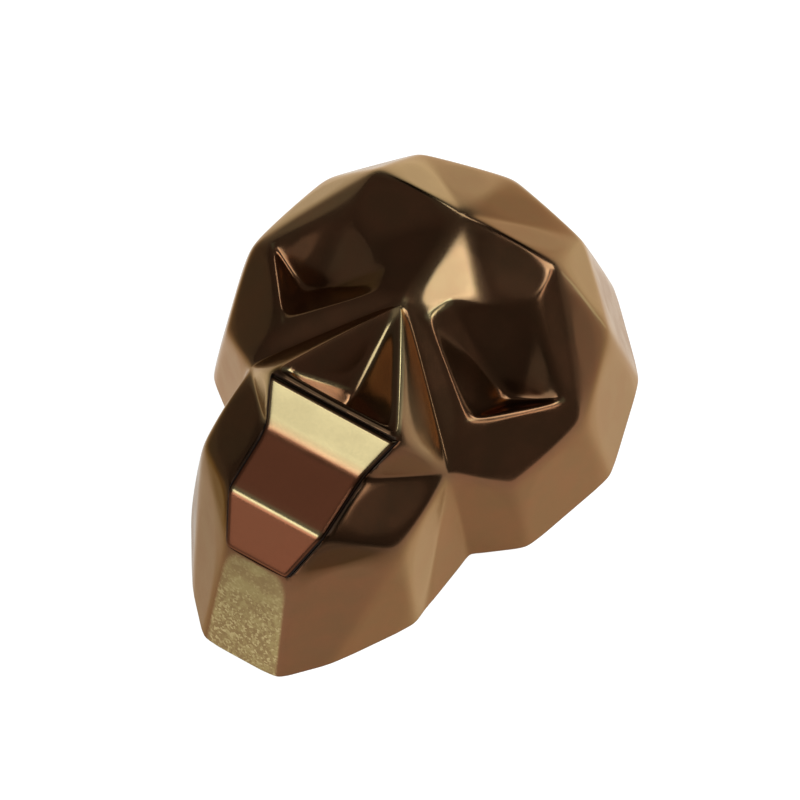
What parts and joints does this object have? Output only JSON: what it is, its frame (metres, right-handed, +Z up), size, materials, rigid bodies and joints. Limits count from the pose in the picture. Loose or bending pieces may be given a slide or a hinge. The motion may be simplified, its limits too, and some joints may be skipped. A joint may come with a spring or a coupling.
{
  "type": "moulded skull chocolate",
  "caption": "Faceted half-relief skull praline with a flat back: a moulded chocolate shell, the soft filling inside it and the closing layer that seals it.",
  "frame": {"origin": "middle of the flat base, halfway between the chin and the crown, where the piece rests", "axes": "+X towards the skull's own left cheek, +Y from the chin towards the crown, +Z up out of the face"},
  "size_m": [0.0284, 0.0379, 0.0167],
  "materials": {
    "lustre_chocolate": "dark chocolate with a rubbed bronze lustre, glossy from the mould",
    "ganache": "soft matt ganache",
    "plain_chocolate": "tempered dark chocolate, scraped level"
  },
  "bodies": {
    "root": {"chocolate_shell": "lustre_chocolate", "filling": "ganache", "closing_base": "plain_chocolate"}
  },
  "joints": []
}
